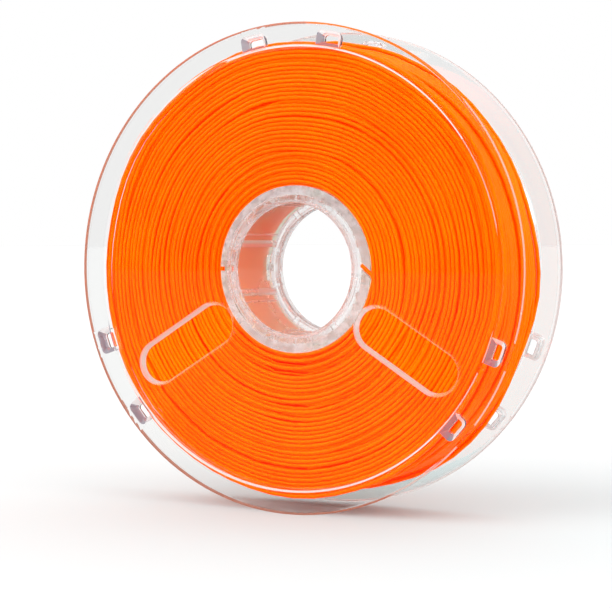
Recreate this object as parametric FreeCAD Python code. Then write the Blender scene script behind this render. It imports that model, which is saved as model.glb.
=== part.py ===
import FreeCAD, Part
import math
import os

from FreeCAD import Vector

# A clear moulded filament reel, standing on its two rims as in use on a bench.
# Frame: the bore axis lies along Y, +Z is up, and the origin is the reel's centre.
# The front flange is at -Y. Depth d below is measured along +Y from the front outer plane.

# ---- driving dimensions, mm ----
REEL_R = 100.0          # both flanges
REEL_W = 47.0           # over the two outer planes
WALL = 2.7              # flange wall
RECESS = 2.0            # the disc lies this far below the rim band
STEP_R_IN = 89.6        # foot of the step between disc and rim band
STEP_R_OUT = 90.7       # top of that step
BEAD_R = 98.8           # inner edge of the stiffening bead round the rim
BEAD_H = 0.7            # how far the bead stands in from the rim band's back
EDGE_ROUND = 0.7        # rounding of the rim's outer corner
BORE_R = 27.0           # the bore, at the two lips
LIP_R = 28.2            # outside of the bore lip
LIP_D = 1.0             # the lip's end face lies this far inside the outer plane
GROOVE_R = 30.4         # outside of the annular groove round the lip
GROOVE_FLOOR = 3.2      # depth of the groove's floor
COLLAR_D = 5.6          # how far in the front collar reaches
SPIGOT_D = 7.0          # how far in the rear spigot reaches
SPIGOT_R = 30.15        # outside of the rear spigot
SLEEVE_R_OUT = 34.2     # winding surface
SLEEVE_R_IN = 30.3
WINDOW_A = (-32.3, 212.3)   # centre lines of the two windows, degrees
WINDOW_FROM, WINDOW_TO = 34.6, 84.2     # along the centre line, at the outer face
WINDOW_WIDTH = 18.6
WINDOW_TAPER = 1.1      # each side, through the wall
CLIP_PAIRS = (90.0, 210.0, 330.0)
CLIP_HALF_PAIR = 10.5
CLIP_R = (90.9, 97.2)       # mouth of a clip pocket, radial
CLIP_HALF = 5.4             # mouth, tangential half-length
THROAT_R = (92.3, 95.35)
THROAT_HALF = 3.2
FUNNEL_D = 3.0          # depth of the pocket's taper
RIB_A = 20.0            # thick guide ribs each side of a latch
RIB_R = 1.5
THIN_RIB_A = 28.0
LATCH_D = (36.6, 39.6)  # latch windows in the sleeve, along the depth
LATCH_HALF_A = 10.5
HOOK_HALF_A = 3.0
STRAND_D = 1.75
PACK_R_OUT = 92.3
PACK_GAP = 0.15         # clearance of the plain pack solid from the mouldings
END_PLAY = 0.05         # the sleeve's clearance from each disc
START_AT = (29.84, 1.92)    # the strand's inner end, across and up from the bore axis
START_DIR = -40.1       # its direction there, degrees
START_RUN = 5.2         # straight length before it turns
START_BEND = 3.5        # radius of the turn on to the sleeve
END_CLIP_A = 79.5       # the rear pocket that holds the outer end

HALF_W = REEL_W / 2.0
DISC_IN = RECESS + WALL     # depth of the disc's inner face
AXIS = Vector(0, 1, 0)
ORIGIN = Vector(0, 0, 0)


def y_of(d):
    return d - HALF_W


def revolve(profile):
    """Solid of revolution about the bore axis from (radius, depth) corners."""
    pts = [Vector(r, y_of(d), 0) for r, d in profile]
    face = Part.Face(Part.makePolygon(pts + pts[:1]))
    return face.revolve(ORIGIN, AXIS, 360)


def ring(r0, r1, d0, d1):
    return revolve([(r0, d0), (r1, d0), (r1, d1), (r0, d1)])


def turned(shape, angle):
    """Turn a feature built at 0 degrees (+X) to angle, counterclockwise seen from the front."""
    s = shape.copy()
    s.rotate(ORIGIN, AXIS, -angle)
    return s


def wedge(r0, r1, d0, d1, half_a):
    """A ring sector centred on +X."""
    a = math.radians(half_a)
    pts = [Vector(r * math.cos(t), y_of(d0), r * math.sin(t)) for r, t in ((r0, -a), (r1, -a), (r1, a), (r0, a))]
    mid_out = Vector(r1, y_of(d0), 0)
    mid_in = Vector(r0, y_of(d0), 0)
    w = Part.Wire([
        Part.LineSegment(pts[0], pts[1]).toShape(),
        Part.Arc(pts[1], mid_out, pts[2]).toShape(),
        Part.LineSegment(pts[2], pts[3]).toShape(),
        Part.Arc(pts[3], mid_in, pts[0]).toShape(),
    ])
    return Part.Face(w).extrude(Vector(0, d1 - d0, 0))


def stadium(x0, x1, width, d):
    h = width / 2.0
    y = y_of(d)
    a, b = x0 + h, x1 - h
    return Part.Wire([
        Part.LineSegment(Vector(a, y, -h), Vector(b, y, -h)).toShape(),
        Part.Arc(Vector(b, y, -h), Vector(b + h, y, 0), Vector(b, y, h)).toShape(),
        Part.LineSegment(Vector(b, y, h), Vector(a, y, h)).toShape(),
        Part.Arc(Vector(a, y, h), Vector(a - h, y, 0), Vector(a, y, -h)).toShape(),
    ])


def pocket_wire(r0, r1, half, round_out, round_in, d):
    """Rounded outline at +X: radial from r0 to r1, tangential +-half."""
    y = y_of(d)
    q = math.sqrt(0.5)
    edges = []

    def line(a, b):
        edges.append(Part.LineSegment(Vector(a[0], y, a[1]), Vector(b[0], y, b[1])).toShape())

    def corner(cx, cz, r, sx, sz, first_x):
        a = Vector(cx + sx * r, y, cz)
        b = Vector(cx, y, cz + sz * r)
        m = Vector(cx + sx * r * q, y, cz + sz * r * q)
        p, e = (a, b) if first_x else (b, a)
        edges.append(Part.Arc(p, m, e).toShape())

    ro, ri = round_out, round_in
    line((r0 + ri, -half), (r1 - ro, -half))
    corner(r1 - ro, -half + ro, ro, 1, -1, False)
    line((r1, -half + ro), (r1, half - ro))
    corner(r1 - ro, half - ro, ro, 1, 1, True)
    line((r1 - ro, half), (r0 + ri, half))
    corner(r0 + ri, half - ri, ri, -1, 1, False)
    line((r0, half - ri), (r0, -half + ri))
    corner(r0 + ri, -half + ri, ri, -1, -1, True)
    return Part.Wire(edges)


def prism(wire, length):
    return Part.Face(wire).extrude(Vector(0, length, 0))


CLIP_ANGLES = [c + s * CLIP_HALF_PAIR for c in CLIP_PAIRS for s in (-1, 1)]


def flange_body(spigot):
    """One flange, built as the front one: outer plane at depth 0."""
    back = WALL
    bead = back + BEAD_H
    e = EDGE_ROUND
    profile = [
        (BORE_R, LIP_D + 0.35), (BORE_R + 0.35, LIP_D), (LIP_R - 0.2, LIP_D), (LIP_R, LIP_D + 0.2),
        (LIP_R, GROOVE_FLOOR), (GROOVE_R, GROOVE_FLOOR), (GROOVE_R, RECESS + 0.25), (GROOVE_R + 0.25, RECESS),
        (STEP_R_IN - 0.4, RECESS), (STEP_R_IN, RECESS - 0.15),
        (STEP_R_OUT - 0.3, 0.2), (STEP_R_OUT + 0.15, 0.0),
        (REEL_R - e, 0.0), (REEL_R - 0.5 * e, 0.13 * e), (REEL_R - 0.13 * e, 0.5 * e), (REEL_R, e),
        (REEL_R, bead - 0.3), (REEL_R - 0.3, bead), (BEAD_R + 0.2, bead), (BEAD_R, bead - 0.2),
        (BEAD_R, back),
        (STEP_R_OUT + 1.1, back), (STEP_R_IN + 0.9, DISC_IN),
    ]
    if spigot:
        profile += [
            (SPIGOT_R, DISC_IN), (SPIGOT_R, SPIGOT_D - 0.4), (SPIGOT_R - 0.4, SPIGOT_D),
            (BORE_R + 0.9, SPIGOT_D), (BORE_R, SPIGOT_D - 0.9),
        ]
    else:
        profile += [(LIP_R, DISC_IN), (LIP_R, COLLAR_D), (BORE_R + 0.3, COLLAR_D), (BORE_R, COLLAR_D - 0.3)]
    body = revolve(profile)

    # bosses behind the clip pockets, flush with the disc's inner face
    bosses = []
    for a in CLIP_ANGLES:
        w = pocket_wire(90.6, THROAT_R[1] + 1.3, THROAT_HALF + 1.5, 2.2, 0.3, back - 0.4)
        bosses.append(turned(prism(w, DISC_IN - back + 0.4), a))
    # webs across the groove round the bore lip
    for a in (0, 90, 180, 270):
        bosses.append(turned(wedge(LIP_R - 0.3, GROOVE_R + 0.3, LIP_D + 0.7, GROOVE_FLOOR + 0.4, 3.0), a))
    for c in (0, 90, 180, 270):
        for s in (-15, 15):
            bosses.append(turned(wedge(LIP_R - 0.3, GROOVE_R + 0.3, RECESS + 0.2, GROOVE_FLOOR + 0.4, 1.3), c + s))
    for a in (50.5, 129.5, 230.5, 309.5):
        bosses.append(turned(wedge(LIP_R - 0.3, GROOVE_R + 0.3, RECESS - 0.3, GROOVE_FLOOR + 0.4, 2.2), a))
    body = body.fuse(bosses)

    cuts = []
    t = WINDOW_TAPER
    for a in WINDOW_A:
        # the taper, carried 0.3 mm past both faces on the same slope
        slope = t / WALL
        out = 0.3 * slope
        w0 = stadium(WINDOW_FROM - out, WINDOW_TO + out, WINDOW_WIDTH + 2 * out, RECESS - 0.3)
        w1 = stadium(WINDOW_FROM + t + out, WINDOW_TO - t - out, WINDOW_WIDTH - 2 * t - 2 * out, DISC_IN + 0.3)
        cuts.append(turned(Part.makeLoft([w0, w1], True, True), a))
        # rounded lead at the outer face
        r = 0.35
        w2 = stadium(WINDOW_FROM - r - 0.1, WINDOW_TO + r + 0.1, WINDOW_WIDTH + 2 * r + 0.2, RECESS - 0.1)
        w3 = stadium(WINDOW_FROM + 0.1, WINDOW_TO - 0.1, WINDOW_WIDTH - 0.2, RECESS + 0.35)
        cuts.append(turned(Part.makeLoft([w2, w3], True, True), a))
    for a in CLIP_ANGLES:
        k = 0.2 / FUNNEL_D
        grow = [(CLIP_R[0] - THROAT_R[0]) * k, (CLIP_R[1] - THROAT_R[1]) * k, (CLIP_HALF - THROAT_HALF) * k]
        w0 = pocket_wire(CLIP_R[0] + grow[0], CLIP_R[1] + grow[1], CLIP_HALF + grow[2], 2.3, 0.35, -0.2)
        w1 = pocket_wire(THROAT_R[0], THROAT_R[1], THROAT_HALF, 1.2, 0.3, FUNNEL_D)
        cuts.append(turned(Part.makeLoft([w0, w1], True, True), a))
        w2 = pocket_wire(THROAT_R[0], THROAT_R[1], THROAT_HALF, 1.2, 0.3, FUNNEL_D - 0.05)
        cuts.append(turned(prism(w2, DISC_IN + 0.3 - FUNNEL_D + 0.05), a))
        # gap in the bead, in line with the pocket
        cuts.append(turned(wedge(BEAD_R - 0.3, REEL_R + 0.5, back, bead + 0.3, 3.3), a))
    return body.cut(cuts)


def mirrored(shape):
    return shape.mirror(ORIGIN, AXIS)


front_flange = flange_body(False)

# The rear flange is the same tool with a deeper spigot, which enters the sleeve and carries the four latch hooks.
rear = flange_body(True)
hooks = []
d0 = REEL_W - LATCH_D[1] - 0.4      # depth from the rear outer plane
for a in (0, 90, 180, 270):
    arm = wedge(28.5, SPIGOT_R - 0.15, SPIGOT_D - 1.0, REEL_W - LATCH_D[0] - 0.25, HOOK_HALF_A)
    head = wedge(SPIGOT_R - 0.4, 32.2, REEL_W - LATCH_D[1] + 0.9, REEL_W - LATCH_D[0] - 0.25, HOOK_HALF_A)
    hooks += [turned(arm, a), turned(head, a)]
rear = rear.fuse(hooks)
rear_flange = mirrored(rear)

# ---- hub sleeve ----
S0, S1 = DISC_IN + END_PLAY, REEL_W - DISC_IN - END_PLAY
sleeve = ring(SLEEVE_R_IN, SLEEVE_R_OUT, S0, S1)
ribs = []
for c in (0, 90, 180, 270):
    for s in (-RIB_A, RIB_A):
        rod = Part.makeCylinder(RIB_R, (REEL_W - SPIGOT_D - 0.3) - (S0 + 0.6), Vector(30.2, y_of(S0 + 0.6), 0), AXIS)
        ribs.append(turned(rod, c + s))
    for s in (-THIN_RIB_A, THIN_RIB_A):
        ribs.append(turned(wedge(29.6, SLEEVE_R_IN + 0.3, S0 + 0.3, REEL_W - SPIGOT_D - 0.3, 0.6), c + s))
sleeve = sleeve.fuse(ribs)
cuts = []
for a in (0, 90, 180, 270):
    cuts.append(turned(wedge(SLEEVE_R_IN - 0.5, SLEEVE_R_OUT + 0.5, LATCH_D[0], LATCH_D[1], LATCH_HALF_A), a))
# slanting notch for the strand's start, open to the sleeve's front end
ux, uz = math.cos(math.radians(START_DIR)), math.sin(math.radians(START_DIR))
line_in = [(START_AT[0] + s * ux, START_AT[1] + s * uz, START_DIR) for s in (-3.0, START_RUN)]
turn_x, turn_z = START_AT[0] + START_RUN * ux + START_BEND * uz, START_AT[1] + START_RUN * uz - START_BEND * ux
line_out = []
for k in range(1, 9):
    t = math.radians(START_DIR - 7.0 * k)
    line_out.append((turn_x - START_BEND * math.sin(t), turn_z + START_BEND * math.cos(t), START_DIR - 7.0 * k))
half = STRAND_D / 2.0 + 0.2
side = [(x - half * math.sin(math.radians(a)), z + half * math.cos(math.radians(a))) for x, z, a in line_in + line_out]
other = [(x + half * math.sin(math.radians(a)), z - half * math.cos(math.radians(a))) for x, z, a in line_in + line_out]
pts = [Vector(x, y_of(DISC_IN - 0.1), z) for x, z in side + other[::-1]]
cuts.append(Part.Face(Part.makePolygon(pts + pts[:1])).extrude(Vector(0, STRAND_D + 0.45, 0)))
# small gate hole opposite
cuts.append(turned(Part.makeBox(8.0, 3.4, 1.7, Vector(28.4, y_of(S0 - 0.1), -0.85)), 180))
hub_sleeve = sleeve.cut(cuts)

# ---- filament ----
# The wound pack is one plain ring here. The strand itself is wound turn by turn in the visual model.
g = PACK_GAP
p0, p1 = DISC_IN + g, REEL_W - DISC_IN - g
filament_winding = revolve([
    (SLEEVE_R_OUT + g, p0), (PACK_R_OUT - 1.2, p0), (PACK_R_OUT, p0 + 1.2),
    (PACK_R_OUT, p1 - 1.2), (PACK_R_OUT - 1.2, p1), (SLEEVE_R_OUT + g, p1),
])

# start tail: a short straight length through the sleeve's notch
r = STRAND_D / 2.0
tail_d = DISC_IN + 0.15 + r
tail = Part.makeCylinder(r, 9.0, Vector(START_AT[0], y_of(tail_d), START_AT[1]), Vector(ux, 0, uz))
filament_start_tail = tail.common(ring(20.0, SLEEVE_R_OUT + 0.1, 0.0, 20.0))

# end tail: over the pack, a quarter bend, and into the rear pocket's throat
TAIL_R = (THROAT_R[0] + THROAT_R[1]) / 2.0
TAIL_BEND = 6.0
TAIL_LEAD = 9.0
d_lane = 37.4
y_lane = y_of(d_lane)
bend_c = Vector(TAIL_R, y_lane + TAIL_BEND, 0)
# built at +X: tangential direction is Z, and the lead comes from +Z
p_start = Vector(TAIL_R, y_lane, TAIL_LEAD + TAIL_BEND)
p_bend0 = Vector(TAIL_R, y_lane, TAIL_BEND)
q = math.sqrt(0.5)
p_mid = Vector(TAIL_R, y_lane + TAIL_BEND - TAIL_BEND * q, TAIL_BEND - TAIL_BEND * q)
p_bend1 = Vector(TAIL_R, y_lane + TAIL_BEND, 0)
p_end = Vector(TAIL_R, y_of(REEL_W - 0.8), 0)
path = Part.Wire([
    Part.LineSegment(p_start, p_bend0).toShape(),
    Part.Arc(p_bend0, p_mid, p_bend1).toShape(),
    Part.LineSegment(p_bend1, p_end).toShape(),
])
section = Part.Wire(Part.makeCircle(r, p_start, Vector(0, 0, -1)))
filament_end_tail = turned(path.makePipeShell([section], True, False), END_CLIP_A)

NODES = {
    "front_flange": front_flange,
    "rear_flange": rear_flange,
    "hub_sleeve": hub_sleeve,
    "filament_winding": filament_winding,
    "filament_start_tail": filament_start_tail,
    "filament_end_tail": filament_end_tail,
}

os.makedirs("parts", exist_ok=True)
for name, shape in NODES.items():
    solids = shape.Solids
    print(name, "solids", len(solids), "valid", shape.isValid(), "volume_cm3", round(shape.Volume / 1000, 3),
          "box", [round(v, 2) for v in (shape.BoundBox.XMin, shape.BoundBox.YMin, shape.BoundBox.ZMin, shape.BoundBox.XMax, shape.BoundBox.YMax, shape.BoundBox.ZMax)])
    out = solids[0] if len(solids) == 1 else shape
    out.exportStep(os.path.join("parts", name + ".step"))

names = list(NODES)
for i, a in enumerate(names):
    for b in names[i + 1:]:
        v = NODES[a].common(NODES[b]).Volume
        if v > 0.001:
            print("overlap", a, b, round(v, 3), "mm3")
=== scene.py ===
import math

import bpy
import numpy as np
from mathutils import Matrix, Vector


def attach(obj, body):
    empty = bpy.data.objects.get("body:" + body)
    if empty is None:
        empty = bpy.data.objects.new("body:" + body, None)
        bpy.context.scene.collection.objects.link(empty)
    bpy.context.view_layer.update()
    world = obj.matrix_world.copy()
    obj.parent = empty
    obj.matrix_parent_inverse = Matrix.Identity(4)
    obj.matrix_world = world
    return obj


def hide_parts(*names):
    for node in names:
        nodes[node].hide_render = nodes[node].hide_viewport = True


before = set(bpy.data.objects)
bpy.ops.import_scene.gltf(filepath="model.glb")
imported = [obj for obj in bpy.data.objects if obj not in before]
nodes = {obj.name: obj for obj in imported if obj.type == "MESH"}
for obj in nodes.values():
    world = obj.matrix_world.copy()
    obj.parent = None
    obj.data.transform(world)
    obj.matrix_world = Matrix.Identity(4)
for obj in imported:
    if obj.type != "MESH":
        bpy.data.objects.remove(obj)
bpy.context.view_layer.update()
scene = bpy.context.scene

# ------------------------------------------------------------------ sizes, mm
REEL_W = 47.0
HALF_W = REEL_W / 2.0
DISC_IN = 4.7            # depth of each disc's inner face from its outer plane
SLEEVE_R = 34.2
STRAND_D = 1.75
END_CLIP_A = 79.5        # the rear pocket that holds the outer end
TAIL_R = 93.825
TAIL_BEND = 6.0
TAIL_LANE = 37.4         # depth of the outer end's last run
NB = 60                  # steps per turn in the winding
START_AT = (29.84, 1.92)
START_DIR = math.radians(-40.1)
START_RUN, START_BEND = 5.2, 3.5


# ------------------------------------------------------------------ winding
def wind(turns, pitch, overrun, slack, seed):
    """Lays one strand turn by turn between the flanges: it follows a traversing guide, drops onto
    the turns below and slides a little sideways into the nearest groove. Returns radius, depth."""
    rng = np.random.default_rng(seed)
    d = 1.73
    n = int(turns * NB)
    z_lo, z_hi = DISC_IN + STRAND_D / 2 + 0.05, REEL_W - DISC_IN - STRAND_D / 2 - 0.05
    guide = np.empty(n)
    z, way = z_lo, 1.0
    step = pitch * (1 + 0.03 * rng.standard_normal())
    over = overrun * (0.5 + rng.random())
    for i in range(n):
        z += way * step / NB
        if (way > 0 and z > z_hi + over) or (way < 0 and z < z_lo - over):
            way = -way
            step = pitch * (1 + 0.03 * rng.standard_normal())
            over = overrun * (0.5 + rng.random())
        guide[i] = z
    knots = np.arange(0, n + NB, NB // 3)
    guide = np.clip(guide + np.interp(np.arange(n), knots, 0.1 * rng.standard_normal(len(knots))), z_lo, z_hi)
    offsets = np.linspace(-slack, slack, 13)
    base = SLEEVE_R + STRAND_D / 2 + 0.02
    keep = 60
    old_r = np.full((NB, keep), -1e3)
    old_z = np.zeros((NB, keep))
    head = np.zeros(NB, int)
    radius, depth = np.empty(n), np.empty(n)
    last = guide[0]
    for i in range(n):
        b = i % NB
        zc = np.clip(guide[i] + offsets, z_lo, z_hi)
        gap = zc[:, None] - old_z[b][None, :]
        q = d * d - gap * gap
        rest = np.where(q > 0, old_r[b][None, :] + np.sqrt(np.maximum(q, 0)), -1e3).max(1)
        rest = np.maximum(rest, base)
        j = int(np.argmin(rest + 0.2 * (zc - guide[i]) ** 2 + 2.0 * (zc - last) ** 2))
        radius[i], depth[i] = rest[j], zc[j]
        last = zc[j]
        old_r[b, head[b]], old_z[b, head[b]] = radius[i], depth[i]
        head[b] = (head[b] + 1) % keep
    return radius, depth


def smooth(a, width):
    k = np.arange(-3 * width, 3 * width + 1)
    w = np.exp(-0.5 * (k / width) ** 2)
    w /= w.sum()
    return np.convolve(np.pad(a, len(k) // 2, mode="edge"), w, "valid")


def ring_point(r, d, a):
    """Radius, depth, angle (radians, counterclockwise from the front) to x, y, z in mm."""
    return np.stack([r * np.cos(a), d - HALF_W, r * np.sin(a)], axis=-1)


def hermite(p0, t0, p1, t1, count):
    s = np.linspace(0, 1, count)[:, None]
    return (2 * s**3 - 3 * s**2 + 1) * p0 + (s**3 - 2 * s**2 + s) * t0 + (-2 * s**3 + 3 * s**2) * p1 + (s**3 - s**2) * t1


# start: straight through the sleeve's notch, then a bend on to the sleeve
tail_y = DISC_IN + 0.15 + STRAND_D / 2 - HALF_W
ux, uz = math.cos(START_DIR), math.sin(START_DIR)
start = [(START_AT[0] + s * ux, tail_y, START_AT[1] + s * uz) for s in np.linspace(0, START_RUN, 7)]
turn_x, turn_z = start[-1][0] + START_BEND * uz, start[-1][2] - START_BEND * ux
for k in range(1, 20):
    t = START_DIR - math.radians(4.0 * k)
    x, z = turn_x - START_BEND * math.sin(t), turn_z + START_BEND * math.cos(t)
    start.append((x, tail_y, z))
    if (x * math.cos(t) + z * math.sin(t)) <= 0.0:
        break
start = np.array(start)
start_a = math.atan2(start[-1][2], start[-1][0])

TURNS = 660.0
rad, dep = wind(TURNS, 2.05, 1.2, 1.3, 21)
rad, dep = smooth(rad, 1), smooth(dep, 2)
n = len(rad)
ang = start_a - math.radians(5.0) - 2 * math.pi * np.arange(n) / NB


def lump(centre, half):
    off = np.abs((np.degrees(ang) - centre + 180) % 360 - 180)
    return 0.5 + 0.5 * np.cos(math.pi * np.clip(off / half, 0, 1))


def ramp01(x):
    x = np.clip(x, 0, 1)
    return x * x * (3 - 2 * x)


# the coil isn't evenly tight: it stands out a little in places and was pulled snug in others
front_side, rear_side = ramp01((12 - dep) / 6), ramp01((dep - 34) / 5)
uneven = front_side * 0.6 * lump(268, 30) + (1 - front_side) * 1.7 * lump(325, 55) - rear_side * 2.7 * lump(15, 70)
rad = rad + np.clip((rad - 50) / 42, 0, 1) * uneven

# outer end: rises off the pack, runs beside the rear flange and turns into the pocket
want = math.radians(END_CLIP_A + 58.0)
off = np.abs((ang - want + math.pi) % (2 * math.pi) - math.pi)
stop = [i for i in range(n - NB - 2, n) if off[i] < math.radians(3.1)][-1] + 1
rad, dep, ang = rad[:stop], dep[:stop], ang[:stop]
n = stop

# steps that can be seen: beside a flange, on the sleeve, or in the outer layers
top = np.array([np.sort(rad[b::NB])[-22:].mean() for b in range(NB)])
bins = np.arange(n) % NB
seen = (dep < DISC_IN + 2.1) | (dep > REEL_W - DISC_IN - 2.1) | (rad > top[bins] - 1.7) | (rad < SLEEVE_R + 1.3)
full = np.zeros(n, bool)
kept = np.zeros(n, bool)
part = NB // 10
for i0 in range(0, n, part):
    hit = seen[i0:i0 + part].any()
    full[i0:i0 + part] = hit
    kept[i0:i0 + part:1 if hit else 3] = True
kept[-12:] = True
full[-12:] = True
pts = ring_point(rad, dep, ang)[kept]
full = full[kept]

lane_y = TAIL_LANE - HALF_W
ae = math.radians(END_CLIP_A)
er = np.array([math.cos(ae), 0, math.sin(ae)])
et = np.array([-math.sin(ae), 0, math.cos(ae)])      # counterclockwise
ey = np.array([0, 1.0, 0])
lead0 = er * TAIL_R + ey * lane_y + et * (9.0 + TAIL_BEND)
arc = [er * TAIL_R + ey * (lane_y + TAIL_BEND - TAIL_BEND * math.cos(t)) + et * (TAIL_BEND - TAIL_BEND * math.sin(t)) for t in np.linspace(0, math.pi / 2, 9)]
last = er * TAIL_R + ey * (REEL_W - 0.8 - HALF_W)
# the last steps over the pack: on an arc round the axis, rising and moving across to the lane
a0, a1 = ang[-1], ae + math.atan2(9.0 + TAIL_BEND, TAIL_R)
while a1 > a0:
    a0 += 2 * math.pi
r1 = math.hypot(TAIL_R, 9.0 + TAIL_BEND)
s = np.linspace(0, 1, 16)[1:]
ease = s * s * (3 - 2 * s)
lift = ring_point(rad[-1] + (r1 - rad[-1]) * ease, dep[-1] + (TAIL_LANE - dep[-1]) * ease, a0 + (a1 - a0) * s)
ends = np.vstack([lift[:-1], [lead0], np.linspace(lead0, arc[0], 4)[1:], np.array(arc[1:]), np.linspace(arc[-1], last, 3)[1:]])
path = np.vstack([start, pts, ends]) / 1000.0
full = np.concatenate([np.ones(len(start), bool), full, np.ones(len(ends), bool)])
length = np.linalg.norm(np.diff(path, axis=0), axis=1).sum()


def tube(name, path, radius, full):
    """A round closed tube along the path: six sides where it can be seen, three deep inside the pack."""
    t = np.gradient(path, axis=0)
    t /= np.linalg.norm(t, axis=1)[:, None]
    bore = np.array([0, 1.0, 0])
    n1 = np.empty_like(t)
    prev = np.cross(t[0], bore)
    prev /= np.linalg.norm(prev)
    for i in range(len(t)):
        v = prev - t[i] * (prev @ t[i])
        w = np.cross(t[i], bore)
        size = np.linalg.norm(w)
        if size > 0.6:
            v = v + 0.5 * w / size * math.copysign(1.0, w @ v)
            v -= t[i] * (v @ t[i])
        prev = v / np.linalg.norm(v)
        n1[i] = prev
    n2 = np.cross(t, n1)
    sides = 6
    a = np.arange(sides) * 2 * math.pi / sides
    rings = path[:, None, :] + radius * (np.cos(a)[None, :, None] * n1[:, None, :] + np.sin(a)[None, :, None] * n2[:, None, :])
    verts, index = [], []
    count = 0
    for i in range(len(path)):
        row = rings[i] if full[i] else rings[i][::2]
        verts.append(row)
        index.append(list(range(count, count + len(row))))
        count += len(row)
    faces = []
    for i in range(len(path) - 1):
        p, q = index[i], index[i + 1]
        if len(p) == len(q):
            m = len(p)
            for k in range(m):
                faces.append((p[k], p[(k + 1) % m], q[(k + 1) % m], q[k]))
        elif len(p) == 6:
            for k in range(3):
                b0, b1, b2 = p[2 * k], p[2 * k + 1], p[(2 * k + 2) % 6]
                c0, c1 = q[k], q[(k + 1) % 3]
                faces += [(b0, b1, c0), (b1, c1, c0), (b1, b2, c1)]
        else:
            for k in range(3):
                b0, b1, b2 = q[2 * k], q[2 * k + 1], q[(2 * k + 2) % 6]
                c0, c1 = p[k], p[(k + 1) % 3]
                faces += [(c0, b1, b0), (c0, c1, b1), (c1, b2, b1)]
    verts.append((path[:1] - t[:1] * radius * 0.15))
    verts.append((path[-1:] + t[-1:] * radius * 0.15))
    p, q = index[0], index[-1]
    for k in range(sides):
        faces.append((count, p[(k + 1) % sides], p[k]))
        faces.append((count + 1, q[k], q[(k + 1) % sides]))
    me = bpy.data.meshes.new(name)
    me.from_pydata(np.vstack(verts).tolist(), [], faces)
    me.polygons.foreach_set("use_smooth", np.ones(len(me.polygons), bool))
    me.update()
    o = bpy.data.objects.new(name, me)
    scene.collection.objects.link(o)
    return o


strand = tube("filament_strand", path, STRAND_D / 2000.0, full)
strand.data.calc_loop_triangles()
print("strand", round(length, 1), "m", len(strand.data.loop_triangles), "triangles, seen share", round(float(full.mean()), 2), "largest radius", round(float(rad.max() + STRAND_D / 2), 2))


# ------------------------------------------------------------------ materials
def new_material(name):
    m = bpy.data.materials.new(name)
    m.use_nodes = True
    m.node_tree.nodes.clear()
    return m, m.node_tree.nodes, m.node_tree.links


def filament_material():
    m, nd, ln = new_material("filament")
    out = nd.new("ShaderNodeOutputMaterial")
    b = nd.new("ShaderNodeBsdfPrincipled")
    tc = nd.new("ShaderNodeTexCoord")
    fine = nd.new("ShaderNodeTexNoise")
    fine.inputs["Scale"].default_value = 900
    fine.inputs["Detail"].default_value = 3
    broad = nd.new("ShaderNodeTexNoise")
    broad.inputs["Scale"].default_value = 28
    broad.inputs["Detail"].default_value = 2
    for t in (fine, broad):
        ln.new(tc.outputs["Object"], t.inputs["Vector"])
    ramp = nd.new("ShaderNodeValToRGB")
    ramp.color_ramp.elements[0].position = 0.35
    ramp.color_ramp.elements[0].color = (0.96, 0.158, 0.0, 1)
    ramp.color_ramp.elements[1].position = 0.65
    ramp.color_ramp.elements[1].color = (0.97, 0.190, 0.0, 1)
    ln.new(broad.outputs["Fac"], ramp.inputs["Fac"])
    ln.new(ramp.outputs["Color"], b.inputs["Base Color"])
    rough = nd.new("ShaderNodeMapRange")
    rough.inputs["To Min"].default_value = 0.36
    rough.inputs["To Max"].default_value = 0.50
    ln.new(fine.outputs["Fac"], rough.inputs["Value"])
    ln.new(rough.outputs["Result"], b.inputs["Roughness"])
    b.inputs["Specular IOR Level"].default_value = 0.35
    b.inputs["Specular Tint"].default_value = (1.0, 0.55, 0.02, 1)
    b.inputs["Subsurface Weight"].default_value = 0.7
    b.inputs["Subsurface Radius"].default_value = (1.0, 0.30, 0.03)
    b.inputs["Subsurface Scale"].default_value = 0.0024
    # painted glow: a faint red emission, seen by camera and mirrored rays but not by diffuse ones, stands in for
    # light scattered up through the plastic into the grooves
    b.inputs["Emission Color"].default_value = (1.0, 0.010, 0.0, 1)
    lp = nd.new("ShaderNodeLightPath")
    painted_glow = nd.new("ShaderNodeMapRange")
    painted_glow.inputs["To Min"].default_value = 0.75
    painted_glow.inputs["To Max"].default_value = 0.0
    ln.new(lp.outputs["Is Diffuse Ray"], painted_glow.inputs["Value"])
    ln.new(painted_glow.outputs["Result"], b.inputs["Emission Strength"])
    bump = nd.new("ShaderNodeBump")
    bump.inputs["Strength"].default_value = 0.12
    bump.inputs["Distance"].default_value = 0.00004
    ln.new(fine.outputs["Fac"], bump.inputs["Height"])
    ln.new(bump.outputs["Normal"], b.inputs["Normal"])
    ln.new(b.outputs["BSDF"], out.inputs["Surface"])
    return m


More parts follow.
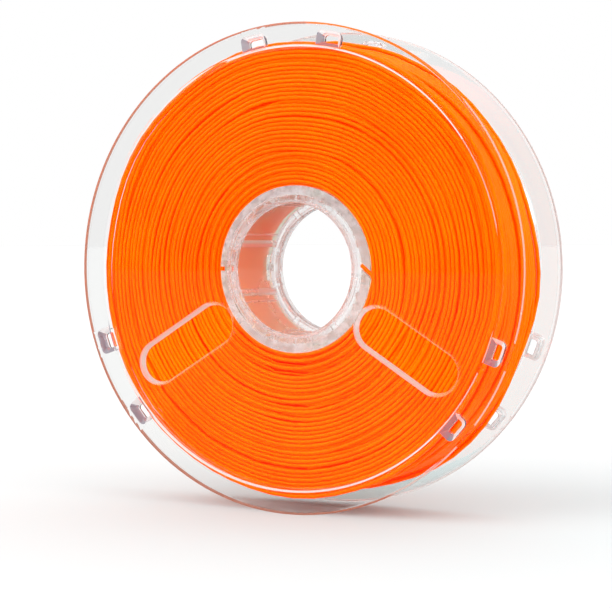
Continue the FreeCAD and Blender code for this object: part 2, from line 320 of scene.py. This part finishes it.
def clear_material(name, tint=(0.955, 0.955, 0.95), rough_lo=0.0, rough_hi=0.03, bump_d=0.00002, haze_and_painted_light_tint=(0.62, 0.60, 0.59), veil=0.0, plain=0.0, beyond=None, mottle=False, tint_top=None):
    """Clear moulded plastic. veil: share of cloudy scattering; plain: share that light crosses unbent.
    beyond: radius in mm outside which it is cloudy, and inside which it is plain.
    mottle: the cloudiness comes in small patches, like the marks a core leaves in a moulding.
    tint_top: the tint at the top of the reel, into which the first one changes.
    haze_and_painted_light_tint: colour of the cloudy share; a real haze on the frosted sleeve, ribs and hub rings,
    painted light and shade on the step, pocket, bead and window faces."""
    m, nd, ln = new_material(name)
    out = nd.new("ShaderNodeOutputMaterial")
    b = nd.new("ShaderNodeBsdfPrincipled")
    b.inputs["Base Color"].default_value = (*tint, 1)
    b.inputs["Transmission Weight"].default_value = 1.0
    b.inputs["IOR"].default_value = 1.57
    tc = nd.new("ShaderNodeTexCoord")
    if tint_top is not None:
        height = nd.new("ShaderNodeSeparateXYZ")
        ln.new(tc.outputs["Object"], height.inputs["Vector"])
        rise = nd.new("ShaderNodeMapRange")
        rise.interpolation_type = "SMOOTHSTEP"
        rise.inputs["From Min"].default_value = 0.045
        rise.inputs["From Max"].default_value = 0.085
        ln.new(height.outputs["Z"], rise.inputs["Value"])
        tints = nd.new("ShaderNodeMix")
        tints.data_type = "RGBA"
        tints.inputs["A"].default_value = (*tint, 1)
        tints.inputs["B"].default_value = (*tint_top, 1)
        ln.new(rise.outputs["Result"], tints.inputs["Factor"])
        ln.new(tints.outputs["Result"], b.inputs["Base Color"])
    flow = nd.new("ShaderNodeTexNoise")
    flow.inputs["Scale"].default_value = 45
    flow.inputs["Detail"].default_value = 4
    ln.new(tc.outputs["Object"], flow.inputs["Vector"])
    rough = nd.new("ShaderNodeMapRange")
    rough.inputs["From Min"].default_value = 0.35
    rough.inputs["From Max"].default_value = 0.7
    rough.inputs["To Min"].default_value = rough_lo
    rough.inputs["To Max"].default_value = rough_hi
    ln.new(flow.outputs["Fac"], rough.inputs["Value"])
    ln.new(rough.outputs["Result"], b.inputs["Roughness"])
    bump = nd.new("ShaderNodeBump")
    bump.inputs["Strength"].default_value = 0.3
    bump.inputs["Distance"].default_value = bump_d
    ln.new(flow.outputs["Fac"], bump.inputs["Height"])
    ln.new(bump.outputs["Normal"], b.inputs["Normal"])
    through = nd.new("ShaderNodeBsdfTransparent")
    through.inputs["Color"].default_value = (0.955, 0.955, 0.955, 1)
    # lamps and scattered light pass straight through; a ray that has bounced inside several times turns cloudy and
    # scatters
    lp = nd.new("ShaderNodeLightPath")
    either = nd.new("ShaderNodeMath")
    either.operation = "MAXIMUM"
    ln.new(lp.outputs["Is Shadow Ray"], either.inputs[0])
    ln.new(lp.outputs["Is Diffuse Ray"], either.inputs[1])
    least = nd.new("ShaderNodeMath")
    least.operation = "MAXIMUM"
    least.inputs[1].default_value = plain
    if beyond is not None:
        flat = nd.new("ShaderNodeVectorMath")
        flat.operation = "MULTIPLY"
        flat.inputs[1].default_value = (1, 0, 1)
        ln.new(tc.outputs["Object"], flat.inputs[0])
        radial = nd.new("ShaderNodeVectorMath")
        radial.operation = "LENGTH"
        ln.new(flat.outputs["Vector"], radial.inputs[0])
        within = nd.new("ShaderNodeMath")
        within.operation = "LESS_THAN"
        within.inputs[1].default_value = beyond / 1000.0
        ln.new(radial.outputs["Value"], within.inputs[0])
        share = nd.new("ShaderNodeMath")
        share.operation = "MULTIPLY"
        share.inputs[1].default_value = 0.985
        ln.new(within.outputs["Value"], share.inputs[0])
        ln.new(share.outputs["Value"], least.inputs[1])
    ln.new(either.outputs["Value"], least.inputs[0])
    deep = nd.new("ShaderNodeMath")
    deep.operation = "GREATER_THAN"
    deep.inputs[1].default_value = 2.5
    ln.new(lp.outputs["Glossy Depth"], deep.inputs[0])
    late = nd.new("ShaderNodeMath")
    late.operation = "GREATER_THAN"
    late.inputs[1].default_value = 9.5
    ln.new(lp.outputs["Ray Depth"], late.inputs[0])
    spent = nd.new("ShaderNodeMath")
    spent.operation = "MAXIMUM"
    ln.new(deep.outputs["Value"], spent.inputs[0])
    ln.new(late.outputs["Value"], spent.inputs[1])
    cloudy = nd.new("ShaderNodeMath")
    cloudy.operation = "MAXIMUM"
    cloudy.inputs[1].default_value = veil
    if mottle:
        marks = nd.new("ShaderNodeTexNoise")
        marks.inputs["Scale"].default_value = 210
        marks.inputs["Detail"].default_value = 3
        ln.new(tc.outputs["Object"], marks.inputs["Vector"])
        patch = nd.new("ShaderNodeMapRange")
        patch.inputs["From Min"].default_value = 0.40
        patch.inputs["From Max"].default_value = 0.60
        patch.inputs["To Min"].default_value = veil * 0.6
        patch.inputs["To Max"].default_value = min(1.0, veil * 1.4)
        ln.new(marks.outputs["Fac"], patch.inputs["Value"])
        ln.new(patch.outputs["Result"], cloudy.inputs[1])
    ln.new(spent.outputs["Value"], cloudy.inputs[0])
    near = nd.new("ShaderNodeBsdfDiffuse")
    far = nd.new("ShaderNodeBsdfTranslucent")
    near.inputs["Color"].default_value = (*haze_and_painted_light_tint, 1)
    far.inputs["Color"].default_value = (*haze_and_painted_light_tint, 1)
    haze = nd.new("ShaderNodeMixShader")
    haze.inputs["Fac"].default_value = 0.5
    ln.new(near.outputs["BSDF"], haze.inputs[1])
    ln.new(far.outputs["BSDF"], haze.inputs[2])
    body = nd.new("ShaderNodeMixShader")
    ln.new(cloudy.outputs["Value"], body.inputs["Fac"])
    ln.new(b.outputs["BSDF"], body.inputs[1])
    ln.new(haze.outputs["Shader"], body.inputs[2])
    mix = nd.new("ShaderNodeMixShader")
    ln.new(least.outputs["Value"], mix.inputs["Fac"])
    ln.new(body.outputs["Shader"], mix.inputs[1])
    ln.new(through.outputs["BSDF"], mix.inputs[2])
    ln.new(mix.outputs["Shader"], out.inputs["Surface"])
    return m


orange = filament_material()
clear = clear_material("clear_plastic")
frosted = clear_material("clear_plastic_sleeve", rough_lo=0.05, rough_hi=0.35, bump_d=0.00008, haze_and_painted_light_tint=(0.72, 0.88, 0.70), veil=0.31)
# painted shade: the rear disc, the same clear plastic as the front, gets a greyer, cooler tint, lighter towards
# the top
clear_rear_painted_shade = clear_material("clear_plastic_rear_painted_shade", tint=(0.80, 0.88, 0.875), tint_top=(0.915, 0.925, 0.92))
matched = clear_material("clear_plastic_contact", plain=0.96)
# painted highlight: a white cloudy band on the step ring outside r 90.05 mm stands in for the highlight on the
# step's rounded edge; fainter on part of the right side
step_faint_painted_highlight = clear_material("clear_plastic_step_faint", rough_lo=0.1, rough_hi=0.3, haze_and_painted_light_tint=(0.80, 0.84, 0.84), veil=0.35, beyond=90.05)
step_line_painted_highlight = clear_material("clear_plastic_step", rough_lo=0.1, rough_hi=0.3, haze_and_painted_light_tint=(0.80, 0.84, 0.84), veil=0.85, beyond=90.05)
# painted light and painted shade in the clip pockets: a pale cloudy share on walls that look left or down, a dark
# purple-grey one on the others; the rear pockets get the pale one all over
pocket_painted_light = clear_material("clear_plastic_pocket", rough_lo=0.2, rough_hi=0.4, bump_d=0.0001, haze_and_painted_light_tint=(0.76, 0.78, 0.80), veil=0.5)
pocket_painted_shade = clear_material("clear_plastic_pocket_side_painted_shade", rough_lo=0.2, rough_hi=0.4, bump_d=0.0001, haze_and_painted_light_tint=(0.21, 0.19, 0.25), veil=0.7)
# painted refraction: a dense brown-pink cloudy share on the rims' edges and bead faces stands in for the orange
# pack's light carried round the rim inside the plastic; paler on the rear rim
edge = clear_material("clear_plastic_bead", rough_lo=0.1, rough_hi=0.3, bump_d=0.00005, haze_and_painted_light_tint=(0.47, 0.215, 0.15), veil=0.9, beyond=99.2)
edge_left_painted_refraction = clear_material("clear_plastic_bead_left_painted_refraction", rough_lo=0.1, rough_hi=0.3, bump_d=0.00005, haze_and_painted_light_tint=(0.47, 0.215, 0.15), veil=0.9, beyond=99.6)
# painted refraction: orange on the front rim from 42° to 86°, for the strand seen bent through the rim
edge_warm_painted_refraction = clear_material("clear_plastic_bead_warm_painted_refraction", rough_lo=0.1, rough_hi=0.3, bump_d=0.00005, haze_and_painted_light_tint=(0.85, 0.20, 0.01), veil=0.85, beyond=99.3)
# painted highlight: a pale cloudy share on the bead faces at the right, for the rim mirroring the side lamp
edge_painted_highlight = clear_material("clear_plastic_bead_painted_highlight", rough_lo=0.1, rough_hi=0.3, bump_d=0.00005, haze_and_painted_light_tint=(0.80, 0.68, 0.62), veil=0.6)
edge_rear_painted_refraction = clear_material("clear_plastic_bead_rear_painted_refraction", rough_lo=0.1, rough_hi=0.3, bump_d=0.00005, haze_and_painted_light_tint=(0.74, 0.70, 0.69), veil=0.6)
hub_ring = clear_material("clear_plastic_hub_ring", tint=(0.93, 0.955, 0.95), rough_lo=0.1, rough_hi=0.4, bump_d=0.0001, haze_and_painted_light_tint=(0.88, 0.92, 0.95), veil=0.2, mottle=True)
sleeve_back = clear_material("clear_plastic_sleeve_outside", tint=(0.50, 0.98, 0.76), rough_lo=0.05, rough_hi=0.3, bump_d=0.00008)
sleeve_end = clear_material("clear_plastic_sleeve_end", rough_lo=0.1, rough_hi=0.4, bump_d=0.0001, haze_and_painted_light_tint=(0.90, 0.95, 0.99), veil=0.48, mottle=True)
rib = clear_material("clear_plastic_rib", rough_lo=0.15, rough_hi=0.45, bump_d=0.0001, haze_and_painted_light_tint=(0.84, 0.82, 0.80), veil=0.4)
# painted light on the window walls: a pale grey cloudy share on the walls that look right, and a yellow-white
# painted highlight for the bright line along the far walls
window_wall_painted_light = clear_material("clear_plastic_window_wall", rough_lo=0.1, rough_hi=0.3, haze_and_painted_light_tint=(0.66, 0.66, 0.67), veil=0.62)
window_far_painted_highlight = clear_material("clear_plastic_window_far", rough_lo=0.1, rough_hi=0.3, haze_and_painted_light_tint=(1.0, 0.78, 0.45), veil=0.3)
strand.data.materials.append(orange)
CLIPS = [c + k for c in (90.0, 210.0, 330.0) for k in (-10.5, 10.5)]


class Faces:
    """Per face: centre radius r, farthest corner's radius, depth d from the nearer outer plane, angle a, normal x, y, z."""

    def __init__(self, me):
        c = np.zeros(len(me.polygons) * 3)
        nrm = np.zeros(len(me.polygons) * 3)
        me.polygons.foreach_get("center", c)
        me.polygons.foreach_get("normal", nrm)
        c, nrm = c.reshape(-1, 3) * 1000, nrm.reshape(-1, 3)
        self.r = np.hypot(c[:, 0], c[:, 2])
        co = np.zeros(len(me.vertices) * 3)
        me.vertices.foreach_get("co", co)
        co = co.reshape(-1, 3) * 1000
        corner = np.zeros(len(me.loops), np.int32)
        me.loops.foreach_get("vertex_index", corner)
        first = np.zeros(len(me.polygons), np.int32)
        me.polygons.foreach_get("loop_start", first)
        self.reach = np.maximum.reduceat(np.hypot(co[:, 0], co[:, 2])[corner], first)
        depth = c[:, 1] + HALF_W
        self.d = np.minimum(depth, REEL_W - depth)
        self.a = np.degrees(np.arctan2(c[:, 2], c[:, 0])) % 360
        self.nx, self.ny, self.nz = nrm.T
        self.sloped = np.abs(self.ny) < 0.93

    def near_clip(self):
        hit = np.zeros(len(self.r), bool)
        for c in CLIPS:
            off = (self.a - c + 180) % 360 - 180
            hit |= np.abs(np.radians(off) * self.r) < 6.0
        return hit & (self.r > 90.4) & (self.r < 97.8) & (self.d < 3.4) & self.sloped

    def gets_painted_light(self):
        """Walls that look left or down: a clear wedge lights up on the side away from the lamp. These walls get
        painted light, the others painted shade.
        """
        return self.nx * 0.8 + self.nz * 0.6 < 0.15


def dress(name, base, *extra):
    """Base material all over the node, then each extra one on the faces its test picks."""
    me = nodes[name].data
    f = Faces(me)
    me.materials.clear()
    me.materials.append(base)
    pick = np.zeros(len(me.polygons), np.int32)
    for mat, test in extra:
        me.materials.append(mat)
        pick[test(f)] = len(me.materials) - 1
    me.polygons.foreach_set("material_index", pick)
    me.update()


outer_step = lambda f: (f.r > 89.2) & (f.r < 91.0) & (f.d < 2.05) & (np.abs(f.ny) < 0.985)
inner_step = lambda f: (f.r > 90.2) & (f.r < 92.0) & (f.d > 2.6) & (f.d < 4.75) & f.sloped
rim = lambda f: (f.r > 99.3) & (f.d > 0.02) & (f.d < 3.37)
bead = lambda f: (f.r > 98.6) & (f.d > 2.75) & ~rim(f)
bead_face = lambda f: bead(f) & ~f.sloped
leftward = lambda f: (f.a > 110) & (f.a < 208)
rightward = lambda f: (f.a < 10) | (f.a > 334)
between = lambda f, lo, hi: (f.a > lo) & (f.a < hi)
dress("front_flange", clear,
      # step ring: painted highlight, fainter from 10° to 34° and from 319° to 334°
      (step_line_painted_highlight, outer_step),
      (step_faint_painted_highlight, lambda f: outer_step(f) & (between(f, 10, 34) | between(f, 319, 334))),
      (matched, lambda f: inner_step(f) | outer_step(f) & (rightward(f) | leftward(f)) | bead(f)),
      # clip pockets: painted light on walls that look left or down, painted shade on the others
      (pocket_painted_light, lambda f: f.near_clip() & f.gets_painted_light()),
      (pocket_painted_shade, lambda f: f.near_clip() & ~f.gets_painted_light()),
      # rim and bead: painted refraction, brown-pink, orange from 42° to 86°, with painted highlight on the bead
      # faces at the right
      (edge, lambda f: rim(f) | bead_face(f)),
      (edge_left_painted_refraction, lambda f: (rim(f) | bead_face(f)) & between(f, 100, 215)),
      (edge_warm_painted_refraction, lambda f: (rim(f) | bead_face(f)) & between(f, 42, 86)),
      (matched, lambda f: rim(f) & ((f.a < 42) | (f.a > 296))),
      (edge_painted_highlight, lambda f: bead_face(f) & ((f.a < 42) | (f.a > 296))),
      (hub_ring, lambda f: f.reach < 34.7),
      # window walls: painted light on those that look right, painted highlight on the far ones
      (window_wall_painted_light, lambda f: (f.r > 34.7) & (f.r < 85) & f.sloped & (f.d > 1.9) & (f.nx > 0.15)),
      (window_far_painted_highlight, lambda f: (f.r > 34.7) & (f.r < 85) & f.sloped & (f.d > 1.9) & (f.nx < 0.15)))
dress("rear_flange", clear_rear_painted_shade,
      (matched, lambda f: inner_step(f) | bead(f)),
      (pocket_painted_light, lambda f: f.near_clip()),
      (edge_rear_painted_refraction, rim),
      (hub_ring, lambda f: f.reach < 31.0))
dress("hub_sleeve", frosted,
      (sleeve_back, lambda f: (f.r > 34.0) & f.sloped),
      (rib, lambda f: f.r < 30.26),
      (sleeve_end, lambda f: ~f.sloped & (f.d < 5.0)))

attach(strand, "root")
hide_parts("filament_winding", "filament_start_tail", "filament_end_tail")

# ------------------------------------------------------------------ floor and light
FLOOR_Z = -0.100
me = bpy.data.meshes.new("floor")
me.from_pydata([(-14, -5, FLOOR_Z), (14, -5, FLOOR_Z), (14, 30, FLOOR_Z), (-14, 30, FLOOR_Z)], [], [(0, 1, 2, 3)])
floor = bpy.data.objects.new("floor", me)
scene.collection.objects.link(floor)
m, nd, ln = new_material("studio_floor")
out = nd.new("ShaderNodeOutputMaterial")
b = nd.new("ShaderNodeBsdfPrincipled")
# like a studio's black cards, the floor in front and behind is dark to mirrored rays only
tc = nd.new("ShaderNodeTexCoord")
sep = nd.new("ShaderNodeSeparateXYZ")
ln.new(tc.outputs["Object"], sep.inputs["Vector"])
depth = nd.new("ShaderNodeMath")
depth.operation = "ABSOLUTE"
ln.new(sep.outputs["Y"], depth.inputs[0])
far_off = nd.new("ShaderNodeMath")
far_off.operation = "GREATER_THAN"
far_off.inputs[1].default_value = 0.05
ln.new(depth.outputs["Value"], far_off.inputs[0])
lp = nd.new("ShaderNodeLightPath")
mirrored = nd.new("ShaderNodeMath")
mirrored.operation = "GREATER_THAN"
mirrored.inputs[1].default_value = 0.5
ln.new(lp.outputs["Glossy Depth"], mirrored.inputs[0])
sharp = nd.new("ShaderNodeMath")
sharp.operation = "SUBTRACT"
sharp.use_clamp = True
ln.new(mirrored.outputs["Value"], sharp.inputs[0])
ln.new(lp.outputs["Is Diffuse Ray"], sharp.inputs[1])
card = nd.new("ShaderNodeMath")
card.operation = "MULTIPLY"
ln.new(far_off.outputs["Value"], card.inputs[0])
ln.new(sharp.outputs["Value"], card.inputs[1])
shade = nd.new("ShaderNodeMix")
shade.data_type = "RGBA"
ln.new(card.outputs["Value"], shade.inputs["Factor"])
# the floor round the reel is a shade cooler, against the orange light thrown on it
away = nd.new("ShaderNodeVectorMath")
away.operation = "DISTANCE"
ln.new(tc.outputs["Object"], away.inputs[0])
away.inputs[1].default_value = (0.06, 0.02, FLOOR_Z)
cool = nd.new("ShaderNodeMapRange")
cool.interpolation_type = "SMOOTHSTEP"
cool.inputs["From Min"].default_value = 0.04
cool.inputs["From Max"].default_value = 0.30
ln.new(away.outputs["Value"], cool.inputs["Value"])
pale = nd.new("ShaderNodeMix")
pale.data_type = "RGBA"
ln.new(cool.outputs["Result"], pale.inputs["Factor"])
pale.inputs["A"].default_value = (0.536, 0.572, 0.577, 1)
pale.inputs["B"].default_value = (0.581, 0.585, 0.585, 1)
ln.new(pale.outputs["Result"], shade.inputs["A"])
shade.inputs["B"].default_value = (0.02, 0.02, 0.02, 1)
ln.new(shade.outputs["Result"], b.inputs["Base Color"])
b.inputs["Roughness"].default_value = 1.0
b.inputs["Specular IOR Level"].default_value = 0.0
ln.new(b.outputs["BSDF"], out.inputs["Surface"])
me.materials.append(m)

# a white studio, with a black card and a grey one that only show in the discs' mirrored light
world = bpy.data.worlds.new("studio")
scene.world = world
world.use_nodes = True
nd, ln = world.node_tree.nodes, world.node_tree.links
nd.clear()
out = nd.new("ShaderNodeOutputWorld")
bg = nd.new("ShaderNodeBackground")
tc = nd.new("ShaderNodeTexCoord")
dot = nd.new("ShaderNodeVectorMath")
dot.operation = "DOT_PRODUCT"
ln.new(tc.outputs["Generated"], dot.inputs[0])
dot.inputs[1].default_value = Vector((-0.42, -0.90, 0.0)).normalized()
ramp = nd.new("ShaderNodeMapRange")
ramp.interpolation_type = "SMOOTHSTEP"
ramp.inputs["From Min"].default_value = 0.35
ramp.inputs["From Max"].default_value = 0.78
ramp.inputs["To Min"].default_value = 1.0
ramp.inputs["To Max"].default_value = 0.0
ln.new(dot.outputs["Value"], ramp.inputs["Value"])
behind = nd.new("ShaderNodeVectorMath")
behind.operation = "DOT_PRODUCT"
ln.new(tc.outputs["Generated"], behind.inputs[0])
behind.inputs[1].default_value = Vector((0.0, 1.0, 0.12)).normalized()
soft = nd.new("ShaderNodeMapRange")
soft.interpolation_type = "SMOOTHSTEP"
soft.inputs["From Min"].default_value = 0.45
soft.inputs["From Max"].default_value = 0.90
soft.inputs["To Min"].default_value = 1.0
soft.inputs["To Max"].default_value = 0.25
ln.new(behind.outputs["Value"], soft.inputs["Value"])
cards = nd.new("ShaderNodeMath")
cards.operation = "MULTIPLY"
ln.new(ramp.outputs["Result"], cards.inputs[0])
ln.new(soft.outputs["Result"], cards.inputs[1])
lp = nd.new("ShaderNodeLightPath")
unmirrored = nd.new("ShaderNodeMath")
unmirrored.operation = "LESS_THAN"
unmirrored.inputs[1].default_value = 0.5
ln.new(lp.outputs["Glossy Depth"], unmirrored.inputs[0])
white = nd.new("ShaderNodeMath")
white.operation = "MAXIMUM"
ln.new(unmirrored.outputs["Value"], white.inputs[0])
ln.new(lp.outputs["Is Diffuse Ray"], white.inputs[1])
fill = nd.new("ShaderNodeMath")
fill.operation = "MAXIMUM"
ln.new(cards.outputs["Value"], fill.inputs[0])
ln.new(white.outputs["Value"], fill.inputs[1])
gain = nd.new("ShaderNodeMapRange")
gain.inputs["To Min"].default_value = 1.0
gain.inputs["To Max"].default_value = 1.56
ln.new(lp.outputs["Is Diffuse Ray"], gain.inputs["Value"])
level = nd.new("ShaderNodeMath")
level.operation = "MULTIPLY"
ln.new(fill.outputs["Value"], level.inputs[0])
ln.new(gain.outputs["Result"], level.inputs[1])
ln.new(level.outputs["Value"], bg.inputs["Strength"])
bg.inputs["Color"].default_value = (1, 1, 1, 1)
ln.new(bg.outputs["Background"], out.inputs["Surface"])


def sun(name, direction, strength, angle):
    l = bpy.data.lights.new(name, "SUN")
    l.energy = strength
    l.angle = math.radians(angle)
    o = bpy.data.objects.new(name, l)
    scene.collection.objects.link(o)
    o.rotation_euler = (-Vector(direction)).to_track_quat("-Z", "Y").to_euler()
    return o


sun("key", (-0.55, -0.75, 0.75), 0.95, 45)
sun("side", (1.0, -0.25, 0.55), 0.7, 40)

# ------------------------------------------------------------------ camera
cam = bpy.data.cameras.new("camera")
cam.sensor_width = 36.0
cam.lens = 106.0587
camera = bpy.data.objects.new("camera", cam)
scene.collection.objects.link(camera)
right, up, back = (0.89258091, 0.45088448, 0.00158084), (-0.017444, 0.03102868, 0.99936626), (0.45054968, -0.89204283, 0.03556083)
m4 = Matrix.Identity(4)
for i in range(3):
    m4[i][0], m4[i][1], m4[i][2] = right[i], up[i], back[i]
m4.translation = Vector((0.33557399915, -0.67334204605, 0.01199083021))
camera.matrix_world = m4
cam.clip_start = 0.01
scene.camera = camera
scene.view_settings.view_transform = "Standard"

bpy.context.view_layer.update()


def plain(b):
    return [[float(c) for c in row] for row in b]
